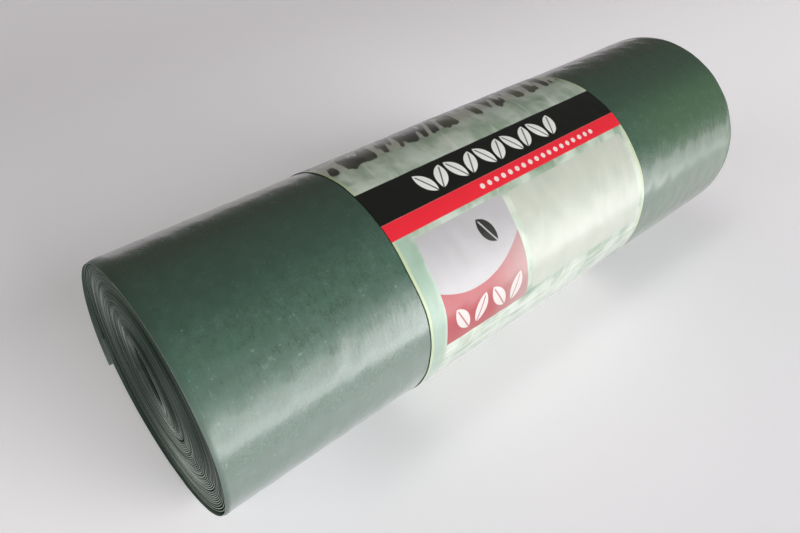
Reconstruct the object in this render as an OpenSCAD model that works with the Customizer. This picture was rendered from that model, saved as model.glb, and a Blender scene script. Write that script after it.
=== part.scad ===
// A roll of large refuse bags, wound without a core and closed by a printed band.
// The bags are one flat film tube, folded lengthwise into layers and wound up on itself.
// X runs along the roll, Z is up, and the roll lies on its flat spot over the origin.

/* [Roll] */
// Length of the roll, which is the width of a folded bag
roll_l = 227.6; // [120:0.4:400]
// Largest diameter, across the loose end of the outermost turn
roll_d = 74.6; // [50:0.2:110]
// Width of the flat spot that the roll lies on
flat_w = 10; // [6:0.5:16]
// Length at each end over which the edge of the outermost turn rolls over
rim_l = 1.8; // [0.6:0.1:4]
// Angle of the loose end round the roll, from the top towards the back
loose_end_a = 112.5; // [60:7.5:150]

/* [Winding] */
// Thickness of one layer of film
film_t = 0.055; // [0.04:0.005:0.09]
// Layers of film in one turn of the folded web
film_layers = 8; // [6:1:12]
// Air between one turn and the next
turn_gap = 0.17; // [0.08:0.01:0.4]
// Extra air under each of the slack outer turns
slack_gap = 0.12; // [0.02:0.01:0.3]
// Number of outer turns that have gone slack
slack_turns = 5; // [1:1:10]

/* [Core] */
// Length of the flat slit in the middle, where the spindle was drawn out
slit_l = 14.6; // [6:0.2:20]
// Open width of the slit
slit_w = 0.6; // [0.3:0.1:1.5]
// Lean of the slit from upright, with its top towards the back
slit_lean = 29; // [0:1:90]
// Distance of the slit's middle behind the middle of the roll
slit_back = 2.2; // [0:0.1:4]
// Distance of the slit's middle above the middle of the roll
slit_rise = 3.4; // [0:0.1:5]

/* [Bags] */
// Number of bags in the roll, each wound over the one before
bag_count = 5; // [3:1:8]
// Step between the edges of one bag and the next, left by wander in the winding
bag_slip = 0.3; // [0.1:0.1:2]
// How far the outermost bag has slipped towards the near end
loose_slip = 1.2; // [0.4:0.1:3]

/* [Band] */
// Width of the printed band, along the roll
band_w = 101.5; // [40:0.5:110]
// Thickness of the band's film
band_t = 0.12; // [0.08:0.01:0.3]
// Distance of the band's middle from the middle of the roll, towards the far end
band_x = 1.7; // [-3:0.1:3]
// Clearance between the roll and the band
band_gap = 0.05; // [0.03:0.01:0.2]
// Length of the glued overlap of the band's two ends, round the roll
seam_l = 13; // [8:1:25]
// Angle of the overlap's free edge round the roll, upwards from the roll's loose end
seam_rise_a = 30; // [20:2.5:100]

/* [Hidden] */

film_green = "#4f7463";
print_pale = "#c9d3bd";

web_t = film_t * film_layers;
pitch = web_t + turn_gap;
out_r = roll_d / 2;

// Share of its height that a turn keeps at the flat spot, and half the spot's angle
flat_share = sqrt(1 - pow(flat_w / roll_d, 2));
flat_a = asin(flat_w / roll_d);

// Steps in one turn: smooth outside, plainer inside and plainest round the slit
outer_steps = 72;
inner_steps = 24;
core_steps = 12;
plain_core_r = 11;

// Steps in which the layers of the outermost turn end at a rim
rim_steps = 3;

// Radius of the web's outer face, some turns in from its loose end
function face_r(turn) = out_r - pitch * turn - slack_gap * min(turn, slack_turns);

// Turns in from the loose end at which that face has a certain radius
function turn_at(r) =
    let (slack_end_r = face_r(slack_turns))
    r > slack_end_r
        ? (out_r - r) / (pitch + slack_gap)
        : slack_turns + (slack_end_r - r) / pitch;

// The nearest turn that is a whole number of the coarsest steps
function whole_step(turn) = round(turn * core_steps) / core_steps;

// Angle round the roll, from the top towards the front, some turns in from the loose end
function turn_a(turn) = 360 * turn - loose_end_a;
lowest_a = 180 + loose_end_a;

// Places round the outermost turn, without those that lie well inside its flat spot
smooth_turns = [for (i = [0 : outer_steps - 1])
    if (cos(360 * i / outer_steps - lowest_a) < cos(flat_a - 360 / outer_steps))
        i / outer_steps];

// Places along the whole web, from the loose end to the slit, counted in turns
core_turn = whole_step(turn_at(plain_core_r));
last_turn = whole_step(turn_at(slit_w / 2 + web_t));
web_turns = concat(
    smooth_turns,
    [for (i = [inner_steps : round(core_turn * inner_steps) - 1]) i / inner_steps],
    [for (i = [round(core_turn * core_steps) : round(last_turn * core_steps)]) i / core_steps]
);

// A place in the cross-section, as [y, z] from the middle of the roll: some turns in
// from the loose end, at a depth below the web's outer face. Towards the core the turns
// draw out along the slit and gather round its middle.
slit_way = [sin(slit_lean), cos(slit_lean)];
slit_middle = [slit_back, slit_rise];
function round_place(turn, depth) =
    let (
        a = turn_a(turn),
        way = [-sin(a), cos(a)],
        r = face_r(turn) - depth,
        core_share = 1 - r / out_r
    )
    r * way + core_share * (slit_l / 2 * (way * slit_way) * slit_way + slit_middle);

// The same place once the roll has settled, with every turn level across the flat spot
function lowest_turn(turn) = round(turn - lowest_a / 360) + lowest_a / 360;
function place(turn, depth) =
    let (p = round_place(turn, depth))
    cos(turn_a(turn)) > -flat_share
        ? p
        : [p[0], flat_share * round_place(lowest_turn(turn), depth)[1]];

// The outline between two depths, past a list of places along the web
function strip_outline(turns, depth, inner_depth) =
    concat(
        [for (t = turns) place(t, depth)],
        [for (i = [len(turns) - 1 : -1 : 0]) place(turns[i], inner_depth)]
    );

// How far a step of the rolled edge stops short, from the outermost step inwards
function rolled_back(step) =
    rim_l * (1 - sqrt(1 - pow(1 - (step + 0.5) / (rim_steps - 0.5), 2)));

// All bags hold the same length of web, so their ends share out the area of the section
function bag_end(bag) =
    bag == bag_count ? last_turn : whole_step(turn_at(out_r * sqrt(1 - bag / bag_count)));

// Each bag's place along the roll, the outermost one first
bag_places = [for (bag = [0 : bag_count - 1])
    bag == 0 ? -loose_slip : (bag % 2 == 1 ? bag_slip : -bag_slip) / 2];
middle_x = -(max(bag_places) + min(bag_places)) / 2;

// How high the band lies over the outermost turn: on it, but running straight down past
// the loose end to where it touches the turn below
function seat_rise(turn) =
    let (below_a = 360 * (1 - turn), touch_a = acos(face_r(1) / out_r))
    band_gap + (below_a < touch_a ? face_r(1) / cos(touch_a - below_a) - face_r(turn) : 0);

// The band's faces round the roll, the outer one with a step where its ends overlap
seam_from = seam_rise_a / 360;
seam_to = seam_from + seam_l / (PI * roll_d);
seam_near = 0.25 / outer_steps;
band_layers = concat(
    [for (t = smooth_turns) if (t < seam_from - seam_near) [t, 1]],
    [[seam_from, 1], [seam_from, 2]],
    [for (t = smooth_turns) if (t > seam_from + seam_near && t < seam_to - seam_near) [t, 2]],
    [[seam_to, 2]],
    [for (t = smooth_turns) if (t > seam_to + seam_near) [t, 1]]
);
band_inside = [for (t = smooth_turns) place(t, -seat_rise(t))];
band_outside = [for (s = band_layers) place(s[0], -seat_rise(s[0]) - s[1] * band_t)];

// The middle of the section stands over the origin, at the height of the band's flat spot
middle_y = -(max([for (p = band_outside) p[0]]) + min([for (p = band_outside) p[0]])) / 2;
middle_z = -min([for (p = band_outside) p[1]]);

// Draws a cross-section out along the roll
module along_roll(length, x) {
    translate([x, middle_y, middle_z])
        rotate([90, 0, 90])
            linear_extrude(length, center = true) children();
}

// One bag's web, between its two ends
module web(bag) {
    near = 0.25 / outer_steps;
    turns = [for (t = web_turns) if (t > bag_end(bag) - near && t < bag_end(bag + 1) + near) t];
    along_roll(roll_l, middle_x + bag_places[bag])
        polygon(strip_outline(turns, 0, web_t));
}

// What a step of the rolled edge leaves open, at the near end (-1) or the far end (1). It
// starts just before the loose end and stops a little sooner for each step inwards.
module rolled_off(end, step) {
    cut_l = rolled_back(step) + rim_l;
    cut_x = (roll_l - cut_l) / 2 + rim_l;
    stop = 1 - (step + 0.5) / outer_steps;
    turns = concat(
        [-0.1 / outer_steps],
        [for (t = smooth_turns) if (t > 0 && t < stop) t],
        [stop]
    );
    along_roll(cut_l, middle_x + bag_places[0] + end * cut_x)
        polygon(strip_outline(turns, -turn_gap / 2, web_t * (step + 1) / rim_steps));
}

// The whole web of bags, wound up from the slit to the loose end. The layers of the
// outermost turn end in steps where its edges roll over.
module bag_roll() {
    color(film_green) {
        difference() {
            web(0);
            for (end = [-1, 1], step = [0 : rim_steps - 2]) rolled_off(end, step);
        }
        for (bag = [1 : bag_count - 1]) web(bag);
    }
}

// The printed band round the middle, glued on itself at the back
module label_band() {
    color(print_pale)
        along_roll(band_w, band_x)
            difference() {
                polygon(band_outside);
                polygon(band_inside);
            }
}

bag_roll();
label_band();
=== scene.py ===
# %% [markdown]
# # A roll of large refuse bags
# The real thing is one long tube of thin green film. It is folded lengthwise into a
# narrow web of eight layers, wound up without a core, and closed by a printed film band.
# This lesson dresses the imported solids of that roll. The solids are fixed: every piece
# made here lies where they lie, in metres, with X along the roll and Z up.

# %% The fixed frame
import bpy
import numpy as np
from mathutils import Matrix, Vector


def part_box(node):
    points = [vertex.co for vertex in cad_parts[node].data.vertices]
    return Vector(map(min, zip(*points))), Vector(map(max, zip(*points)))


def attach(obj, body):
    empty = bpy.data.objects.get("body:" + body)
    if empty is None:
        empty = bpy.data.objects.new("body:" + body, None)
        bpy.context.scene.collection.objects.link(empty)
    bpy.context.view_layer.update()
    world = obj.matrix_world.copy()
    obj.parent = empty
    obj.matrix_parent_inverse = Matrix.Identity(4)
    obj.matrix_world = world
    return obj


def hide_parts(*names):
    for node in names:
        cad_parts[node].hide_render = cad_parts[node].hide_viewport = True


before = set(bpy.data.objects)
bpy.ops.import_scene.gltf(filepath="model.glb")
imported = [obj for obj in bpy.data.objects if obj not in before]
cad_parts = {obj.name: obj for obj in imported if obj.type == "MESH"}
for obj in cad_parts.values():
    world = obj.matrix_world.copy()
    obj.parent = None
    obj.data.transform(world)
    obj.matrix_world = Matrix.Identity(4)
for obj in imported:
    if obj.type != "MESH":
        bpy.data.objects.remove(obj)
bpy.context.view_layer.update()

# %% [markdown]
# ## The winding, as a formula
# A wound web is a spiral, so a place on it needs two numbers. `turn` counts the turns
# inwards from the loose end, and `depth` goes down through the web from its outer face.
# The solids were made by the same formula, so the looks fit them without any measuring.
# Towards the middle the turns draw out along the flat slit that the spindle left, and
# underneath they lie level across the spot on which the soft roll has settled.

# %% Sizes of the winding
MM = 0.001
outer_r = 37.3
flat_w = 10.0
web_t = 0.44
turn_gap = 0.17
slack_gap = 0.12
slack_turns = 5
loose_end_a = np.radians(112.5)
slit_l = 14.6
slit_w = 0.6
slit_lean = np.radians(29)
slit_middle = np.array([2.2, 3.4])
slit_way = np.array([np.sin(slit_lean), np.cos(slit_lean)])

pitch = web_t + turn_gap
flat_share = np.sqrt(1 - (flat_w / 2 / outer_r) ** 2)
lowest_a = np.pi + loose_end_a


def face_r(turn):
    """Radius in mm of the web's outer face, some turns in from the loose end."""
    return outer_r - pitch * turn - slack_gap * np.minimum(turn, slack_turns)


def turn_angle(turn):
    """Angle round the roll, from the top towards the front."""
    return 2 * np.pi * turn - loose_end_a


def round_place(turn, depth):
    """[y, z] in mm from the roll's middle, before the roll settled."""
    angle = turn_angle(turn)
    way = np.stack([-np.sin(angle), np.cos(angle)], -1)
    r = (face_r(turn) - depth)[..., None]
    along_slit = (way @ slit_way)[..., None] * slit_way
    return r * way + (1 - r / outer_r) * (slit_l / 2 * along_slit + slit_middle)


def place(turn, depth):
    """The same place with every turn level across the flat spot."""
    turn, depth = np.broadcast_arrays(turn, depth)
    spot = round_place(turn, depth)
    lowest_turn = np.round(turn - lowest_a / (2 * np.pi)) + lowest_a / (2 * np.pi)
    level = flat_share * round_place(lowest_turn, depth)[..., 1]
    spot[..., 1] = np.where(np.cos(turn_angle(turn)) < -flat_share, level, spot[..., 1])
    return spot


last_turn = float(slack_turns + (face_r(slack_turns) - slit_w / 2 - web_t) / pitch)
print("turns in the roll:", round(last_turn, 1))

# %% [markdown]
# ## Where the section stands
# The formula works from the roll's middle, which isn't the frame's origin. Once round the
# outermost turn, the formula gives the outline of the solid. How far the lowest and the
# frontmost point of that outline lie from the box of the solid is how far the middle
# lies from the origin. The lengths along the roll come from the two boxes as well.

# %% Sizes that come from the frame
band_t = 0.12
band_gap = 0.05
seam_l = 13.0
seam_turn = 30 / 360
bag_slip = 0.3
loose_slip = 1.2
solid_steps = 72

roll_low, roll_high = (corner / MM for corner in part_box("bag_roll"))
band_low, band_high = (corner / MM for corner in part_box("label_band"))
near_x = roll_low.x
roll_l = roll_high.x - roll_low.x - loose_slip - bag_slip / 2
far_x = near_x + roll_l
outline = place(np.arange(solid_steps + 1) / solid_steps, 0.0)
middle = np.array([roll_low.y, roll_low.z]) - outline.min(axis=0)
print("roll length", round(roll_l, 2), "mm, middle of the section", middle.round(3))


def to_frame(x, spot):
    """Points in metres in the frame, from mm along the roll and mm in the section."""
    x = np.broadcast_to(x, spot.shape[:-1])
    return np.concatenate([x[..., None], spot + middle], -1) * MM


# %% [markdown]
# ## A mesh from a grid of points
# Every piece here is a strip with some thickness: a closed profile that moves along the
# spiral. A grid with one row of points for each step along the way and one column for
# each point of the profile becomes a mesh of quads, with a cap at both ends. Each point
# also keeps its place on the unrolled film, in mm along the roll and mm round it, and
# the materials draw their patterns in those coordinates.

# %% Strip maker
smooth_up_to = np.radians(62)


def make_strip(name, points, unrolled, edge):
    """A closed tube of quads from points[step, profile, 3], capped at both ends."""
    steps, profile = points.shape[:2]
    mesh = bpy.data.meshes.new(name)
    index = np.arange(steps * profile).reshape(steps, profile)
    across = np.roll(index, -1, axis=1)
    quads = np.stack([index[:-1], across[:-1], across[1:], index[1:]], -1).reshape(-1, 4)
    caps = [index[0][::-1].tolist(), index[-1].tolist()]
    mesh.from_pydata(points.reshape(-1, 3), [], quads.tolist() + caps)
    stored = mesh.attributes.new("unrolled", "FLOAT_VECTOR", "POINT")
    stored.data.foreach_set("vector", unrolled.astype(np.float32).ravel())
    stored = mesh.attributes.new("edge", "FLOAT", "POINT")
    stored.data.foreach_set("value", np.tile(edge, steps).astype(np.float32))
    mesh.polygons.foreach_set("use_smooth", np.ones(len(mesh.polygons), bool))
    mesh.set_sharp_from_angle(angle=smooth_up_to)
    mesh.validate()
    piece = bpy.data.objects.new(name, mesh)
    bpy.context.scene.collection.objects.link(piece)
    triangles = sum(len(p.vertices) - 2 for p in mesh.polygons)
    print(name, triangles, "triangles")
    return piece


# %% [markdown]
# ## Slow waves in the film
# Thin film never winds up perfectly round. A few long sine waves of a tenth of a
# millimetre bend the highlights as the real film does, and many short, still lower ones
# fray their edges into streaks. They run a whole number of times round the roll, so they
# close, and they fade out on the flat spot, where the roll lies.

# %% Waves
def sum_of_waves(per_mm, rounds, start, height):
    """A function of x in mm and the angle that adds up sine waves."""
    def waves(x, angle):
        total = 0
        for k, n, s in zip(per_mm, rounds, start):
            total = total + np.sin(2 * np.pi * x * k + n * angle + s)
        return height * total / np.sqrt(len(start))
    return waves


def make_waves(seed, count, shortest, longest, height):
    """Long waves in any direction, up to four of them round the roll."""
    rng = np.random.default_rng(seed)
    per_mm = 1 / rng.uniform(shortest, longest, count)
    rounds = rng.integers(-4, 5, count)
    return sum_of_waves(per_mm, rounds, rng.uniform(0, 2 * np.pi, count), height)


def make_ripples(seed, count, height):
    """Short ripples, 5.5 to 14 mm long, of which 5 to 21 run round the roll."""
    rng = np.random.default_rng(seed)
    per_mm = 1 / rng.uniform(5.5, 14, count)
    rounds = rng.integers(5, 22, count) * rng.choice([-1, 1], count)
    return sum_of_waves(per_mm, rounds, rng.uniform(0, 2 * np.pi, count), height)


film_waves = make_waves(seed=3, count=9, shortest=28, longest=160, height=0.07)
film_ripples = make_ripples(seed=21, count=36, height=0.055)
band_ripples = make_ripples(seed=34, count=30, height=0.035)
flat_fade = 0.16


def above_flat(angle):
    """0 on the flat spot that the roll lies on, and 1 well away from it."""
    return np.clip((1 + np.cos(angle)) / flat_fade, 0, 1) ** 2


def smooth_step(share):
    """Turns a straight climb from 0 to 1 into a soft one."""
    return share * share * (3 - 2 * share)


def bump_at(value, centre, reach):
    """A smooth hump of height 1 that is 0 further than reach from the centre."""
    return smooth_step(np.clip(1 - np.abs(value - centre) / reach, 0, 1))


# %% [markdown]
# ## The outermost turn
# It is the only turn that shows along its whole length, so it gets a fine mesh of its
# own: a profile of many points along the roll, carried once round it. At both rims the
# folded edge rolls over, at the near end most of all on top, and the turn stands a little
# off the next one. At the near end the corner of the loose end has peeled up and has been
# drawn out by a millimetre.

# %% Outermost turn
outer_steps = 400
face_points, under_points, rim_points, nose_points = 176, 8, 9, 7

# How far the web's edge rolls over at the rims: length and drop in mm
near_rim, near_rim_on_top, far_rim = (1.7, 0.28), (4.4, 0.75), (3.0, 0.28)
top_middle, top_reach = -10, 85
roll_power = 2.2
rim_thins, least_rim_t = 0.7, 0.2
side_edge = 0.6

# The piece starts a little before the solid's loose end and runs in under itself, in turns
loose_from, loose_overlap = -0.009, 0.03

# The corner of the loose end: drawn out in mm over some turns, peeled up in mm over an arc
corner_out, corner_turns = 0.95, 0.20
corner_up, far_corner_up, corner_arc = 1.1, 0.25, 11

# Where the outermost turn stands off the next one: height in mm, angle and reach in degrees
near_gape, far_gape = (0.12, 118, 50), (0.2, 60, 70)
near_fade, far_fade, corner_fade = 7, 9, 9
outer_stand = 0.1


def rim_profile(length, drop):
    """(distance from the end, depth, edge) from the flat of the face round the rim."""
    share = np.linspace(0, 1, rim_points, endpoint=False)
    nose_a = np.radians(np.linspace(90, -90, nose_points))
    thick = np.maximum(web_t - rim_thins * drop, least_rim_t)
    slope_l = length - (length - web_t / 2) * share
    nose_l = web_t / 2 * (1 - np.cos(nose_a)) + 0 * drop
    distance = np.concatenate([slope_l, nose_l], -1)
    nose_depth = drop + thick / 2 * (1 - np.sin(nose_a))
    depth = np.concatenate([drop * share ** roll_power, nose_depth], -1)
    nose_edge = side_edge + (1 - side_edge) * np.cos(nose_a)
    return distance, depth, np.concatenate([side_edge * share, nose_edge])


def outer_profile(turn):
    """x, depth and edge of the closed profile at each turn: face, far rim, under, near rim."""
    painted_shade_on_top = bump_at(np.degrees(turn_angle(turn)), top_middle, top_reach)
    near_l, near_drop = (low + (high - low) * painted_shade_on_top for low, high in zip(near_rim, near_rim_on_top))
    far_l, far_drop = (value + 0 * painted_shade_on_top for value in far_rim)
    near, near_depth, near_edge = rim_profile(near_l, near_drop)
    far, far_depth, far_edge = rim_profile(far_l, far_drop)
    start_x = near_x - corner_out * bump_at(turn, loose_from, corner_turns)
    from_x, to_x = start_x + near_l, far_x - far_l
    face_x = from_x + (to_x - from_x) * np.linspace(0, 1, face_points)[1:-1]
    under_x = to_x + (from_x - to_x) * np.linspace(0, 1, under_points)
    x = np.concatenate([face_x, far_x - far, under_x, start_x + near[:, ::-1]], -1)
    depth = np.concatenate([0 * face_x, far_depth, web_t + 0 * under_x, near_depth[:, ::-1]], -1)
    edge = np.concatenate([0 * face_x[0], far_edge, side_edge + 0 * under_x[0], near_edge[::-1]])
    return x, depth, edge


def rim_lift(turn, x):
    """How far in mm the outermost turn stands off the next one near its rims."""
    degrees = np.degrees(turn_angle(turn))
    from_near, from_far = x - near_x, far_x - x
    near_h, near_middle, near_reach = near_gape
    far_h, far_middle, far_reach = far_gape
    gape = near_h * bump_at(degrees, near_middle, near_reach) * np.exp(-from_near / near_fade)
    gape = gape + far_h * bump_at(degrees, far_middle, far_reach) * np.exp(-from_far / far_fade)
    peel = corner_up * np.exp(-from_near / corner_fade)
    peel = peel + far_corner_up * np.exp(-from_far / far_fade)
    return gape + peel * np.exp((loose_from - turn) * 2 * np.pi * outer_r / corner_arc)


def make_outer_turn():
    turn = np.linspace(loose_from, 1 + loose_overlap, outer_steps)[:, None]
    angle = turn_angle(turn)
    x, depth, edge = outer_profile(turn)
    ripples = film_ripples(x, angle) * np.where(depth < web_t, 1, 0)
    rise = (film_waves(x, angle) + ripples + outer_stand) * above_flat(angle) + rim_lift(turn, x)
    rise = rise * np.clip((1 + loose_overlap - turn) / loose_overlap, 0, 1)
    spot = place(turn, depth - rise)
    unrolled = np.stack(np.broadcast_arrays(x, angle * outer_r, turn), -1)
    return make_strip("outer_turn", to_frame(x, spot), unrolled, edge)


outer_turn = make_outer_turn()

# %% [markdown]
# ## All the other turns
# Only their folded edges show, at the two ends of the roll. One strip with a narrow
# ridge at both sides winds from under the loose end to the slit. Real turns wander: the
# outer ones have slipped along the roll one after another, single turns and groups of
# turns stand out or back a little, and in places a turn has let go of the next one and
# left a dark gap. The last turns before the slit end a little deeper inside.

# %% Turns inside
ridge_depth = np.array([0, 0.02, 0.12, 0.5, 0.88, 0.98, 1])
ridge_back = np.array([1, 0.16, 0.03, 0, 0.03, 0.16, 1])
ridge_edge = np.array([0.0, 0.3, 0.9, 1.0, 0.9, 0.3, 0.0])
ridge_l = 0.5
edge_t = 0.34
steps_outside = 96
steps_inside = 60
plain_r = 16.0
slip_turns = 2.6

# Wide gaps between two turns: radius in mm, angle from the top, half their reach, width
gap_arcs = [(36.2, 112, 46, 0.22), (35.3, 108, 42, 0.18), (34.4, 112, 38, 0.16),
            (30.2, 140, 40, 0.30), (26.0, 152, 36, 0.55), (15.6, 148, 46, 0.50),
            (7.0, 122, 26, 0.40)]
gap_fades_over = 7
single_h, group_h, group_turns = 0.10, 0.20, 4
wander_h = 0.04
core_back_l, core_back_from, core_back_to = 1.0, 2.2, 1.0


def nearest_turn(radius, angle):
    """The turn whose outer face passes an angle at about some distance from the middle."""
    first = (angle + loose_end_a) / (2 * np.pi) % 1
    turns = first + np.arange(int(last_turn))
    distance = np.linalg.norm(place(turns, 0 * turns), axis=-1)
    return turns[np.argmin(np.abs(distance - radius))]


def drawn_in(turn):
    """How far in mm the turns are pushed inwards by the wide gaps outside them."""
    total = 0 * turn
    for radius, angle_deg, reach, width in gap_arcs:
        first = nearest_turn(radius, np.radians(angle_deg))
        after = np.round(turn - first)
        away = (turn - first - after) * 360
        fade = np.where(after >= 0, np.clip(1 - after / gap_fades_over, 0, 1), 0)
        total = total + width * fade * bump_at(away, 0, reach)
    return total


def slipped(turn):
    """How far a turn lies from the outermost one along the roll: most of it in few turns."""
    return loose_slip * (1 - np.exp(-turn / slip_turns))


def creep(turn, seed, height):
    """Slow wander along the roll, different from turn to turn."""
    rng = np.random.default_rng(seed)
    per_turn = rng.normal(0, 1, int(last_turn) + 4)
    per_turn = np.convolve(per_turn, [0.25, 0.5, 0.25], "same")
    return height * np.interp(turn, np.arange(len(per_turn)), per_turn)


def uneven_ends(turn, seed):
    """Single turns that stand out or back a little, and groups of turns that do so more."""
    return creep(turn, seed, single_h) + creep(turn / group_turns, seed + 10, group_h)


def inner_turn_list():
    plain_turn = slack_turns + (face_r(slack_turns) - plain_r) / pitch
    outside = np.arange(1 + loose_overlap, plain_turn, 1 / steps_outside)
    inside = np.arange(outside[-1] + 1 / steps_inside, last_turn, 1 / steps_inside)
    return np.concatenate([outside, inside])


def make_inner_turns():
    turn = inner_turn_list()[:, None]
    core_share = (turn - last_turn + core_back_from) / (core_back_from - core_back_to)
    ends = ridge_l * ridge_back + core_back_l * np.clip(core_share, 0, 1)
    near = near_x + slipped(turn) + uneven_ends(turn, 11) + ends
    far = far_x + slipped(turn) + uneven_ends(turn, 12) - ends
    x = np.concatenate([near, far[:, ::-1]], -1)
    depth = edge_t * np.concatenate([ridge_depth, ridge_depth[::-1]])[None]
    wander = wander_h * np.sin(3 * turn_angle(turn) + turn) * np.clip(turn - 1, 0, 1)
    spot = place(turn, depth + drawn_in(turn) + wander)
    arc = turn_angle(turn % 1) * face_r(turn)
    unrolled = np.stack(np.broadcast_arrays(x, arc, turn), -1)
    edge = np.concatenate([ridge_edge, ridge_edge[::-1]])
    return make_strip("inner_turns", to_frame(x, spot), unrolled, edge)


inner_turns = make_inner_turns()

# %% [markdown]
# ## The start of the web
# The spindle gripped the web's first end, so that end lies flat in the slit. It starts a
# few centimetres inside the roll, where it closes the view from one end to the other.

# %% Start of the web
start_inset = 28.0
start_t, start_edge_t = 1.3, 0.05
start_steps = 15


def make_web_start():
    across = np.array([slit_way[1], -slit_way[0]])
    x = np.array([near_x + start_inset, far_x - start_inset])
    x = np.concatenate([x, x[::-1]])[None]
    share = np.linspace(-1, 1, start_steps)[:, None]
    along = share * slit_l / 2
    side = np.array([1, 1, -1, -1]) / 2 * (start_t * np.sqrt(1 - share ** 2) + start_edge_t)
    spot = slit_middle + along[..., None] * slit_way + side[..., None] * across
    unrolled = np.stack(np.broadcast_arrays(x, along, 0 * x), -1)
    return make_strip("web_start", to_frame(np.broadcast_to(x, side.shape), spot), unrolled,
                      np.zeros(4))


web_start = make_web_start()

# %% [markdown]
# ## The printed band
# One strip of glossy film goes once round the middle and is glued on itself at the back.
# It starts at the free edge on top of the overlap and ends underneath it. It follows the
# waves of the turn that it lies on, runs straight down past the loose end, and its two
# long edges stand off by a hair, in long shallow waves. On its upper side it has slid a
# little towards the near end, so its edges don't run quite square round the roll, and at
# the front its far edge flares out.

# %% Band
band_steps = 400
band_points = 120
band_middle_x = (band_low.x + band_high.x) / 2
band_stand = 0.18
film_share = 0.7
edge_fade = 1.6

# The skew in mm at both edges, and in degrees where it stops and over how much it fades
near_skew, far_skew = 1.6, 1.0
front_stop, front_soft, back_stop, back_soft = 78, 30, -110, 60

# The flare of the far edge: height and fade in mm, angle and reach in degrees
flare_h, flare_fade, flare_middle, flare_reach = 0.35, 3, 68, 26

# Where the upper end comes down from the overlap, counted in lengths of the seam
lap_to, lap_gone = 1.2, 1.8
lap_stand = 1.1
edge_waves = make_waves(seed=8, count=5, shortest=90, longest=400, height=0.5)


def seat_rise(turn):
    """How high the band lies over the outermost turn, which steps down at its loose end."""
    below = np.maximum(2 * np.pi * (1 + loose_from - turn), 0)
    touch = np.arccos(face_r(1) / outer_r)
    straight = face_r(1) / np.cos(np.clip(touch - below, -1.5, 1.5)) - face_r(turn)
    return band_gap + np.where(below < touch, straight, 0)


def band_skew(x, angle):
    """How far in mm the band has slid towards the near end, on its upper side only."""
    degrees = np.degrees(angle)
    front = np.clip((front_stop - degrees) / front_soft, 0, 1)
    upper = front * np.clip((degrees - back_stop) / back_soft, 0, 1)
    far_share = (x - band_low.x) / (band_high.x - band_low.x)
    return (near_skew + (far_skew - near_skew) * far_share) * smooth_step(upper)


def make_band():
    seam_share = seam_l / (2 * np.pi * outer_r)
    way = np.linspace(0, 1 + seam_share, band_steps)[:, None]
    turn = (seam_turn + way) % 1
    angle = turn_angle(turn)
    outer_x = np.linspace(band_low.x, band_high.x, band_points)
    under_x = outer_x[::-1][::5]
    straight_x = np.concatenate([outer_x, under_x])
    x = straight_x - band_skew(straight_x, angle)
    depth = np.concatenate([0 * outer_x, band_t + 0 * under_x])
    lap = smooth_step(np.clip((lap_gone - way / seam_share) / (lap_gone - lap_to), 0, 1))
    from_edge = np.minimum(straight_x - band_low.x, band_high.x - straight_x)
    stand = np.exp(-from_edge / edge_fade) * np.clip(0.02 + 0.12 * edge_waves(x, angle), 0, 0.2)
    flare = bump_at(np.degrees(angle), flare_middle, flare_reach)
    stand = stand + flare_h * np.exp(-(band_high.x - x) / flare_fade) * flare
    ripples = film_ripples(x, angle) * film_share + band_ripples(x, angle)
    rise = (film_waves(x, angle) + ripples + band_stand + stand) * above_flat(angle)
    rise = rise + lap * band_t * lap_stand
    spot = place(turn, depth - seat_rise(turn) - band_t - rise)
    arc = turn_angle(seam_turn + way) * outer_r
    unrolled = np.stack(np.broadcast_arrays(straight_x - band_middle_x, arc, way), -1)
    return make_strip("printed_band", to_frame(x, spot), unrolled, 0 * straight_x)


printed_band = make_band()

# %% [markdown]
# ## Maths on shader sockets
# A pattern is a formula, and formulas read best as formulas. `Wire` wraps one output of
# a node. Adding, taking away, multiplying and dividing wires places Math nodes behind
# them, also when the number comes first, as in `1 - mask`.

# %% Wires
class Wire:
    """One output of a node in a finish."""

    def __init__(self, finish, socket):
        self.finish = finish
        self.socket = socket

    def maths(self, operation, *values):
        return self.finish.node("ShaderNodeMath", {"operation": operation}, dict(enumerate(values)))

    def __add__(self, other):
        return self.maths("ADD", self, other)

    def __sub__(self, other):
        return self.maths("SUBTRACT", self, other)

    def __rsub__(self, other):
        return self.maths("SUBTRACT", other, self)

    def __mul__(self, other):
        return self.maths("MULTIPLY", self, other)

    def __truediv__(self, other):
        return self.maths("DIVIDE", self, other)

    def __rtruediv__(self, other):
        return self.maths("DIVIDE", other, self)

    def __abs__(self):
        return self.maths("ABSOLUTE", self)

    def __pow__(self, other):
        return self.maths("POWER", self, other)

    def __rpow__(self, other):
        return self.maths("POWER", other, self)

    __radd__ = __add__
    __rmul__ = __mul__

    def rise(self, low, high):
        """0 below low and 1 above high, with a smooth step between."""
        settings = {"interpolation_type": "SMOOTHSTEP"}
        return self.finish.node("ShaderNodeMapRange", settings,
                                {"Value": self, "From Min": low, "From Max": high})

    def between(self, low, high, soft=0.12):
        """1 between low and high, with soft edges."""
        return self.rise(low - soft, low + soft) * (1 - self.rise(high - soft, high + soft))

    def cosine(self):
        return self.maths("COSINE", self)

    def floor(self):
        return self.maths("FLOOR", self)


# %% [markdown]
# ## One call for any other node
# `Finish.node` takes a node's type, its settings, and the values or wires of its sockets.
# What comes back often, such as a noise or a bump, has a short name of its own. Colours
# go through Mix nodes, because a Math node would turn them grey.

# %% Finishes
def paint(text):
    """A colour as it looks on a screen, such as 4f7463, as the linear light it stands for."""
    parts = [int(text[i:i + 2], 16) / 255 for i in (0, 2, 4)]
    linear = [p / 12.92 if p <= 0.04045 else ((p + 0.055) / 1.055) ** 2.4 for p in parts]
    return (*linear, 1.0)


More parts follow.
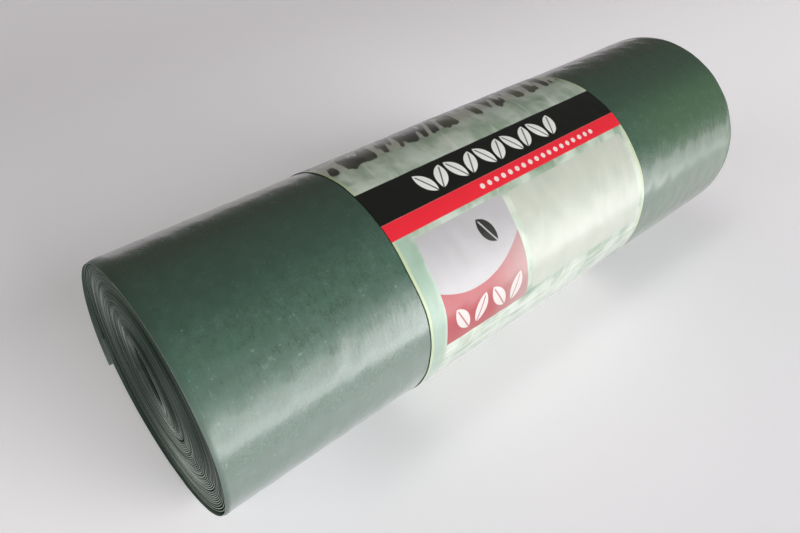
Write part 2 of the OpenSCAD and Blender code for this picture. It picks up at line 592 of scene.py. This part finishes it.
class Finish:
    """The nodes of a material, or of the sky."""

    def __init__(self, owner):
        self.owner = owner
        owner.use_nodes = True
        self.tree = owner.node_tree
        self.tree.nodes.clear()

    def node(self, kind, settings=None, inputs=None, output=0):
        """Adds a node: its settings first, then the values or wires of its sockets."""
        made = self.tree.nodes.new(kind)
        for key, value in (settings or {}).items():
            setattr(made, key, value)
        for key, value in (inputs or {}).items():
            if isinstance(value, Wire):
                self.tree.links.new(value.socket, made.inputs[key])
            else:
                made.inputs[key].default_value = value
        return Wire(self, made.outputs[output]) if made.outputs else None

    def mix(self, mask, below, above):
        """A colour: below where the mask is 0 and above where it is 1."""
        return self.node("ShaderNodeMix", {"data_type": "RGBA"}, {0: mask, 6: below, 7: above}, 2)

    def unrolled(self):
        """The stored place on the unrolled film, as a vector."""
        return self.node("ShaderNodeAttribute", {"attribute_name": "unrolled"}, output=1)

    def edge(self):
        """1 on the folded edge of the web and 0 on its face."""
        return self.node("ShaderNodeAttribute", {"attribute_name": "edge"}, output=2)

    def parts(self, vector):
        """The three numbers of a vector."""
        return [self.node("ShaderNodeSeparateXYZ", None, {0: vector}, i) for i in range(3)]

    def vector(self, x, y, z=0.0):
        return self.node("ShaderNodeCombineXYZ", None, {0: x, 1: y, 2: z})

    def noise(self, vector, scale, detail=2.0, roughness=0.5):
        return self.node("ShaderNodeTexNoise", None, {
            "Vector": vector, "Scale": scale, "Detail": detail, "Roughness": roughness})

    def cells(self, vector, scale):
        """The distance to the nearest of some scattered points."""
        return self.node("ShaderNodeTexVoronoi", None, {"Vector": vector, "Scale": scale})

    def bump(self, height):
        """A normal bent by a height in mm."""
        return self.node("ShaderNodeBump", None,
                         {"Height": height, "Distance": MM, "Strength": 1.0})

    def coat(self, sockets):
        """The shader itself, joined to the material's output."""
        shader = self.node("ShaderNodeBsdfPrincipled", None, sockets)
        self.node("ShaderNodeOutputMaterial", None, {"Surface": shader})
        print(self.owner.name, len(self.tree.nodes), "nodes")
        return self.owner


# %% [markdown]
# ## Green film
# Refuse bags are often blown from recycled film. Close up it is mottled in soft patches,
# it has a fine grain and a few pale pin specks, and handling has left faint scuffs that
# run round the roll. It is a little yellower towards the far end. On top the colour is
# darker, which is painted shade, and just behind the top lies a painted olive reflection.
# The rolled-over rims are darker as painted shade, and their crests are pale, partly
# frosted film and partly painted sheen. The gloss is a satin base under a clearer top layer.

# %% Film finish
def film_finish():
    f = Finish(bpy.data.materials.new("green film"))
    stored = f.unrolled()
    x, arc, _ = f.parts(stored)
    side = f.edge().rise(0.0, side_edge)
    crest = f.edge().rise(0.86, 0.99)
    patches = f.noise(stored, 0.03, 2.0, 0.5).rise(0.36, 0.66)
    mottle = f.noise(stored, 0.30, 5.0, 0.8).rise(0.30, 0.72)
    tint = f.noise(stored, 0.16, 3.0, 0.7).rise(0.35, 0.65)
    grain = f.noise(stored, 2.2, 2.0, 0.6)
    brushed = f.noise(f.vector(x * 1.5, arc * 0.16), 1.0, 4.0, 0.7)
    scuff = brushed.rise(0.58, 0.88)
    colour = f.mix(patches, paint("3f5b4b"), paint("466353"))
    colour = f.mix(tint * 0.5, colour, paint("3f6150"))
    colour = f.mix(mottle * 0.6, colour, paint("58776a"))
    colour = f.mix((1 - brushed.rise(0.3, 0.5)) * 0.3, colour, paint("34493d"))
    colour = f.mix(grain.rise(0.55, 0.8) * 0.22, colour, paint("6d8d7d"))
    colour = f.mix(scuff * 0.12, colour, paint("86a697"))
    uneven = f.noise(stored, 0.9, 3.0, 0.7)
    speck = 1 - (f.cells(stored, 0.26) + uneven * 0.10).rise(0.08, 0.15)
    sparse = f.noise(stored, 0.12, 2.0, 0.5).rise(0.42, 0.6)
    colour = f.mix(speck * sparse * 0.38, colour, paint("9dbdaa"))
    far_part, painted_shade_on_top = x.rise(35.0, 80.0), arc.between(-18.0, 21.0, 9.0)
    painted_olive_reflection_behind_top = arc.between(-22.0, 0.0, 7.0)
    colour = f.mix(far_part * 0.5, colour, paint("4f6c46"))
    # Painted shade: the top of the roll is darker.
    colour = f.mix(painted_shade_on_top * 0.56, colour, paint("293d32"))
    # Painted reflection: an olive tint just behind the top.
    colour = f.mix(painted_olive_reflection_behind_top * 0.28, colour, paint("40452a"))
    # Painted shade: the rolled-over rims are darker.
    colour = f.mix(side * 0.5, colour, paint("35473d"))
    # The pale crest of the folded rim is partly frosted film and partly painted sheen.
    colour = f.mix(crest * 0.75, colour, paint("a9b6af"))
    ripple = f.noise(f.vector(x * 0.45, arc * 0.12), 1.0, 3.0, 0.6)
    fine = f.noise(f.vector(x * 1.3, arc * 0.30), 1.0, 3.0, 0.6)
    return f.coat({
        "Base Color": colour,
        "Roughness": 0.22 + mottle * 0.06 + scuff * 0.1 + side * 0.30,
        "IOR": 2.1,
        "Coat Weight": (1 - scuff * 0.35) * (1 - side * 0.85),
        "Coat Roughness": 0.16,
        "Coat IOR": 1.8,
        "Normal": f.bump(ripple * 0.24 + fine * 0.03 + grain * 0.003),
    })


outer_turn.data.materials.append(film_finish())

# %% [markdown]
# ## Folded edges
# The inner turns show no faces, only edges. Cut and folded film looks frosted and pale
# there, so they get a matt finish of their own. The sides between the crests are dark
# green film, painted darker in the gaps as painted shade. The pale crests are partly
# frosted film and partly painted sheen. A painted highlight makes them palest in line with
# the slit, painted shade makes them duller on top, and the last turns by the slit are
# painted near-black as painted shade.

# %% Folded edge finish
shaded_a = np.radians(2)


def folded_edge_finish():
    f = Finish(bpy.data.materials.new("folded edges"))
    _, arc, turn = f.parts(f.unrolled())
    # Painted highlight: the crests are palest in line with the slit.
    twice_angle_from_slit = turn * (4 * np.pi) - 2 * float(loose_end_a - slit_lean)
    painted_highlight_by_slit = twice_angle_from_slit.cosine() * 0.5 + 0.5
    # Painted shade: the crests are duller on top.
    from_shade = turn * (2 * np.pi) - float(loose_end_a + shaded_a)
    shade = from_shade.cosine().rise(0.45, 0.95)
    groups = f.noise(f.vector(turn * 0.35, arc * 0.012), 1.0, 2.0, 0.6).rise(0.35, 0.65)
    single = f.noise(f.vector(turn * 1.9 + 30.0, arc * 0.03), 1.0, 2.0, 0.6).rise(0.3, 0.7)
    crest = f.edge().rise(0.35, 0.85)
    # The dark sides are the film's green, painted darker in the gaps as painted shade.
    colour = f.mix(groups, paint("1c2a22"), paint("2d4238"))
    # Pale crests: partly frosted film and partly painted sheen.
    pale = f.mix(single, paint("a3b5aa"), paint("e3ebe5"))
    # Random tone between groups, times the painted highlight and the painted shade.
    tone_and_painted_light = (groups * 0.3 + 0.65) * (painted_highlight_by_slit ** 1.6 * 0.82 + 0.18) * (1 - shade * 0.72)
    colour = f.mix(crest * tone_and_painted_light, colour, pale)
    # Painted shade: the last turns by the slit are near-black.
    painted_shade_in_slit = turn.rise(last_turn - 1.8, last_turn - 1.3)
    colour = f.mix(painted_shade_in_slit * 0.92, colour, paint("0a0e0c"))
    return f.coat({
        "Base Color": colour,
        "Roughness": 0.75 - single * 0.15,
        "IOR": 1.35,
        "Specular IOR Level": 0.3,
    })


folded_edges = folded_edge_finish()
inner_turns.data.materials.append(folded_edges)
web_start.data.materials.append(folded_edges)

# %% [markdown]
# ## Print on the band
# The print is flat colour and simple shapes: a black stripe with a row of white leaves,
# a red stripe with a row of dots, two panels, and a soft picture-like ground of pale and
# green patches under a dark field of grass-like streaks. Each shape is a mask made from
# the distance to it in mm, so its edge stays crisp at any size.

# %% Shapes of the print
soft_edge = 0.1
leaf_lean = np.radians(62)


def leaf(along, across, length, width):
    """A leaf: where two discs overlap, with its point along the first coordinate."""
    half_l, half_w = length / 2, width / 2
    disc_r = (half_l ** 2 + half_w ** 2) / (2 * half_w)
    offset = disc_r - half_w
    reach = (along * along + (abs(across) + offset) ** 2.0) ** 0.5
    body = 1 - reach.rise(disc_r - soft_edge, disc_r + soft_edge)
    rib = 1 - abs(across).rise(0.16, 0.34)
    return body * (1 - rib * along.rise(-half_l * 0.9, -half_l * 0.7) * 0.85)


def turned(x, y, angle):
    """Coordinates turned by an angle."""
    c, s = float(np.cos(angle)), float(np.sin(angle))
    return x * c + y * s, y * c - x * s


def in_steps(x, first, step):
    """Which step of a row a place lies in, and how far it lies from that step's middle."""
    share = (x - first) / step
    cell = share.floor()
    return cell, (share - cell - 0.5) * step


def leaf_row(x, y, first, last, step, length, width):
    """A row of leaves that lean to the left and to the right in turn."""
    cell, local = in_steps(x, first, step)
    odd = abs(cell.maths("MODULO", cell, 2.0))
    left = leaf(*turned(local, y, leaf_lean), length, width)
    right = leaf(*turned(local, y, np.pi - leaf_lean), length, width)
    row = left * (1 - odd) + right * odd
    return row * x.between(first, last, 0.01)


def dot_row(x, y, first, last, step, radius):
    """A row of round dots."""
    _, local = in_steps(x, first, step)
    reach = (local * local + y * y) ** 0.5
    return (1 - reach.rise(radius - soft_edge, radius + soft_edge)) * x.between(first, last, 0.01)


# %% [markdown]
# ## Where the print lies
# The places are in mm along the band from its middle, and in mm round the roll from its
# top towards the front. What comes later covers what came before, as inks do on film.

# %% Printed areas
half_band = float(band_high.x - band_low.x) / 2
black_from, black_to = 7.25, 19.1
red_to = 24.25
blade_lean = np.radians(24)
crinkles_from = 62.0


def printed_ground(f, x, arc, soft):
    """The soft ground, the dark field with its pale blades, and painted reflections on the crinkles
    below.
    """
    blur = f.noise(f.vector(x * 0.05 + 9.0, arc * 0.11), 1.0, 2.0, 0.5)
    ground = f.mix(soft.rise(0.36, 0.62), paint("9db19b"), paint("ccd7c9"))
    ground = f.mix(blur.rise(0.5, 0.72) * 0.8, ground, paint("d6dccd"))
    ground = f.mix(1 - blur.rise(0.2, 0.42), ground, paint("6f8f74"))
    streaks = f.noise(f.vector(x * 0.24 + arc * 0.06, arc * 0.035), 1.0, 3.0, 0.6)
    ground = f.mix(streaks.rise(0.54, 0.7) * 0.6, ground, paint("e3e7dd"))

    lean_x, lean_arc = turned(x, arc, blade_lean)
    blades = f.noise(f.vector(lean_x * 0.30, lean_arc * 0.045), 1.0, 1.0, 0.5)
    meadow = f.mix(soft.rise(0.4, 0.65), paint("2b2c24"), paint("55573f"))
    meadow = f.mix(blades.rise(0.5, 0.55) * arc.rise(-22.0, -9.0) * 0.9, meadow, paint("d3d4c7"))
    field_edge = arc + (blades - 0.5) * 8.0
    field = (1 - field_edge.rise(-4.9, -4.0)) * (arc + blur * 12.0).rise(-42.0, -22.0)
    colour = f.mix(field, ground, meadow)
    # Painted reflection: pale glints on the crinkles below the panels.
    painted_glints_on_crinkles = f.noise(f.vector(x * 0.05, arc * 1.1 + x * 0.12), 1.0, 3.0, 0.7).rise(0.5, 0.6)
    below = arc.rise(crinkles_from - 0.5, crinkles_from + 0.5)
    return f.mix(painted_glints_on_crinkles * below * 0.6, colour, paint("eef1ea"))


def printed_stripes(f, x, arc, colour):
    """The pale edges of the band, the black stripe with leaves and the red one with dots."""
    at_near_edge = (1 - x.rise(-46.0, -43.5)) * arc.rise(20.0, 26.0)
    colour = f.mix(at_near_edge * 0.75, colour, paint("8fae9b"))
    margin = 1 - (half_band - abs(x)).rise(0.8, 1.1)
    colour = f.mix(margin * 0.8, colour, paint("c3cfa4"))

    colour = f.mix(arc.between(black_from, black_to), colour, paint("131410"))
    colour = f.mix(arc.between(black_to, red_to), colour, paint("ec2a3a"))
    leaves = leaf_row(x, arc - (black_from + black_to) / 2, -33.0, 27.0, 6.0, 8.6, 4.2)
    colour = f.mix(leaves, colour, paint("f2f3ee"))
    dots = dot_row(x, arc - (black_to + red_to) / 2, -16.0, 38.0, 3.0, 0.85)
    return f.mix(dots, colour, paint("f6dcd8"))


def printed_panels(f, x, arc, colour):
    """A grey panel over a red hill, with leaves on both, and a plain pale panel beside it."""
    left_panel = x.between(-44.5, -10.5) * arc.between(26.0, 61.0)
    hill = arc - 47.0 + ((x + 31.0) * (x + 31.0)) * 0.022
    # The red fades to pale pink to the right, partly the print's fade and partly painted glare.
    red_with_painted_glare = f.mix(x.rise(-30.0, -9.0) * 0.6, paint("a61e29"), paint("b9aaa6"))
    panel = f.mix(hill.rise(-0.15, 0.15), paint("b9b7b9"), red_with_painted_glare)
    dark_leaf = leaf(*turned(x + 21.0, arc - 33.5, leaf_lean), 9.5, 5.0)
    panel = f.mix(dark_leaf, panel, paint("2b2d2a"))
    pale_leaves = leaf_row(x, arc - 54.5, -42.0, -12.0, 7.5, 9.5, 4.6)
    panel = f.mix(pale_leaves, panel, paint("ddd4d1"))
    colour = f.mix(left_panel, colour, panel)

    right_panel = x.between(-8.0, 47.5) * arc.between(26.6, 59.8)
    return f.mix(right_panel * 0.86, colour, paint("c2c6ba"))


# %% [markdown]
# ## The band's gloss
# The band's gloss is a little softer than the bags'. The film lies in small creases, which
# a bump adds to the waves of the mesh.

# %% Band finish
def band_finish():
    f = Finish(bpy.data.materials.new("printed film"))
    x, arc, _ = f.parts(f.unrolled())
    soft = f.noise(f.vector(x * 0.10, arc * 0.06), 1.0, 3.0, 0.55)
    colour = printed_ground(f, x, arc, soft)
    colour = printed_stripes(f, x, arc, colour)
    colour = printed_panels(f, x, arc, colour)
    crease = f.noise(f.vector(x * 0.05, arc * 0.22), 1.0, 3.0, 0.65)
    ripple = f.noise(f.vector(x * 0.30, arc * 0.05), 1.0, 2.0, 0.5)
    return f.coat({
        "Base Color": colour,
        "Roughness": 0.26 + soft * 0.06,
        "IOR": 1.6,
        "Coat Weight": 1.0,
        "Coat Roughness": 0.24,
        "Coat IOR": 1.6,
        "Normal": f.bump(crease * 0.10 + ripple * 0.05),
    })


printed_band.data.materials.append(band_finish())

# %% [markdown]
# ## What the pieces stand for
# Each piece rides on the one body of the part and hides the solid that it stands for.

# %% Riding on the frame
for piece, node, slot in ((outer_turn, "bag_roll", "film"), (inner_turns, "bag_roll", "film"),
                          (web_start, "bag_roll", "film"), (printed_band, "label_band", "band")):
    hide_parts(node)
    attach(piece, "root")

# %% [markdown]
# ## Floor
# A plain pale table without any gloss, wide enough to fill the picture from any side.
# A faint glow of its own, which only the camera and the film's gloss see, stands in for
# the light of a white room. It is weaker under the roll, as a painted shadow there, and
# weaker behind the roll, as painted shade.

# %% Floor
floor_reach = 4.0
floor_sink = 0.00002
floor_glow = 0.28
painted_shadow_glow = 0.15
back_glow = 0.04
far_glow = 0.13
floor_in_gloss = 0.42
less_to_the_right = 0.13


def make_floor():
    corners = [(sx * floor_reach, sy * floor_reach, -floor_sink)
               for sx, sy in ((-1, -1), (1, -1), (1, 1), (-1, 1))]
    mesh = bpy.data.meshes.new("floor")
    mesh.from_pydata(corners, [], [(0, 1, 2, 3)])
    floor = bpy.data.objects.new("floor", mesh)
    bpy.context.scene.collection.objects.link(floor)
    f = Finish(bpy.data.materials.new("pale table"))
    place_on_floor = f.node("ShaderNodeTexCoord", None, None, "Object")
    distance = f.node("ShaderNodeVectorMath", {"operation": "LENGTH"}, {0: place_on_floor}, "Value")
    x, y, _ = f.parts(place_on_floor)
    # Painted shadow: the glow is weaker under the roll. Painted shade: it is weaker behind it.
    painted_shadow_under_roll = (1 - abs(y).rise(0.034, 0.052)) * x.rise(-0.09, -0.05) * (1 - x.rise(0.10, 0.16))
    glow = floor_glow - painted_shadow_under_roll * (floor_glow - painted_shadow_glow) - y.rise(0.0, 0.35) * (floor_glow - back_glow)
    glow = glow + distance.rise(0.5, 2.5) * (far_glow - glow)
    right, behind = x.rise(-0.03, 0.06), y.rise(0.02, 0.26)
    close_by = 1 - abs(y).rise(0.040, 0.060)
    glow_in_gloss = (floor_in_gloss - right * less_to_the_right) * (1 - behind)
    glow_in_gloss = glow_in_gloss * (1 - close_by * 0.5)
    seen = f.node("ShaderNodeLightPath", None, None, "Is Camera Ray")
    in_gloss = f.node("ShaderNodeLightPath", None, None, "Is Glossy Ray")
    mesh.materials.append(f.coat({
        "Base Color": paint("efebf0"),
        "Roughness": 1.0,
        "Specular IOR Level": 0.0,
        "Emission Color": (1.0, 1.0, 1.0, 1.0),
        "Emission Strength": seen * glow + in_gloss * glow_in_gloss,
    }))


make_floor()

# %% [markdown]
# ## Sky
# The sky is a dim room with a glow near the horizon. The roll and the table see it like
# that, and for the camera itself it is plain and pale.

# %% Sky
sky_light = 0.07
horizon_glow = 0.17
glow_up_to = 0.3
sky_seen = 0.6
sky_colour = (1.0, 0.98, 0.94, 1.0)


def make_sky():
    world = bpy.data.worlds.new("sky")
    bpy.context.scene.world = world
    f = Finish(world)
    _, _, height = f.parts(f.node("ShaderNodeTexCoord", None, None, "Generated"))
    glow = horizon_glow + height.rise(0.0, glow_up_to) * (sky_light - horizon_glow)
    seen = f.node("ShaderNodeLightPath", None, None, "Is Camera Ray")
    light = {"Color": sky_colour, "Strength": glow + seen * (sky_seen - glow)}
    background = f.node("ShaderNodeBackground", None, light)
    f.node("ShaderNodeOutputWorld", None, {"Surface": background})


make_sky()

# %% [markdown]
# ## Low window
# The highlights on the film come from a low window in front of the roll, which only the
# gloss sees. It is built of lamps in rows that get dimmer upwards. It is brightest in
# front of the band and dimmest towards the far end.

# %% Low window
window_y = -0.112

# Parts of the window along the roll and its rows, each from, to and brightness
window_parts = [(-0.30, -0.045, 0.56), (-0.045, -0.01, 0.88), (-0.01, 0.04, 1.35),
                (0.04, 0.13, 0.86), (0.13, 0.18, 0.42), (0.18, 0.45, 0.08)]
window_rows = [(0.000, 0.022, 1.6), (0.022, 0.042, 1.22), (0.042, 0.060, 1.05),
               (0.060, 0.078, 0.60), (0.078, 0.096, 0.17)]


def add_lamp(name, data, where, towards):
    lamp = bpy.data.objects.new(name, data)
    lamp.location = where
    lamp.rotation_euler = (Vector(towards) - Vector(where)).to_track_quat("-Z", "Y").to_euler()
    lamp.visible_camera = False
    bpy.context.scene.collection.objects.link(lamp)
    return lamp


def make_low_window():
    """Rows of lamps that show in the gloss alone, more even along the roll at the bottom."""
    for left, right, share in window_parts:
        for low, high, radiance in window_rows:
            x, level = (left + right) / 2, (low + high) / 2
            kept = share if low > 0 else share ** 0.5
            data = bpy.data.lights.new("low window", "AREA")
            data.shape, data.size, data.size_y = "RECTANGLE", right - left, high - low
            data.energy = radiance * kept * np.pi * data.size * data.size_y
            add_lamp("low window", data, (x, window_y, level), (x, 0, level)).visible_diffuse = False


make_low_window()
print(len(bpy.data.lights), "lamps in the window")

# %% [markdown]
# ## Far lamps
# Three broad soft lamps stand far away, so they light the table evenly: the brightest in
# front, a weak warm one at the back and one beside the near end. They make no highlights.

# %% Far lamps
white = (1.0, 1.0, 1.0)
warm = (1.0, 0.92, 0.72)


def make_far_lamp(name, way, strength, spread, colour):
    data = bpy.data.lights.new(name, "SUN")
    data.energy, data.angle, data.color = strength, np.radians(spread), colour
    add_lamp(name, data, way, (0.0, 0.0, 0.0)).visible_glossy = False
    print(name, strength)


make_far_lamp("front lamp", (0.30, -0.95, 0.28), 3.95, 45, white)
make_far_lamp("back lamp", (-0.30, 1.0, 0.16), 0.75, 50, warm)
make_far_lamp("side lamp", (-1.1, 0.1, 0.3), 1.0, 45, white)

# %% [markdown]
# ## Camera
# It looks along the roll from its near end, down on it from the front. The three
# directions are those of the view, to the right and up in it, and straight back.

# %% Camera
camera_place = (-144.67, -132.95, 137.11)
view_right = Vector((0.75154, -0.65969, 0.0))
view_up = Vector((0.41067, 0.46784, 0.78261))
focal_mm = 30.99


def make_camera():
    data = bpy.data.cameras.new("camera")
    data.sensor_width = 36.0
    data.lens = focal_mm
    data.clip_start = 0.01
    camera = bpy.data.objects.new("camera", data)
    back = view_right.cross(view_up)
    turn = Matrix((view_right, view_up, back)).transposed().to_4x4()
    x, y, z = camera_place
    camera.matrix_world = Matrix.Translation(Vector((x, y + middle[0], z + middle[1])) * MM) @ turn
    bpy.context.scene.collection.objects.link(camera)
    bpy.context.scene.camera = camera
    print("camera at", [round(v, 4) for v in camera.matrix_world.translation])


make_camera()
bpy.context.scene.view_settings.view_transform = "Standard"
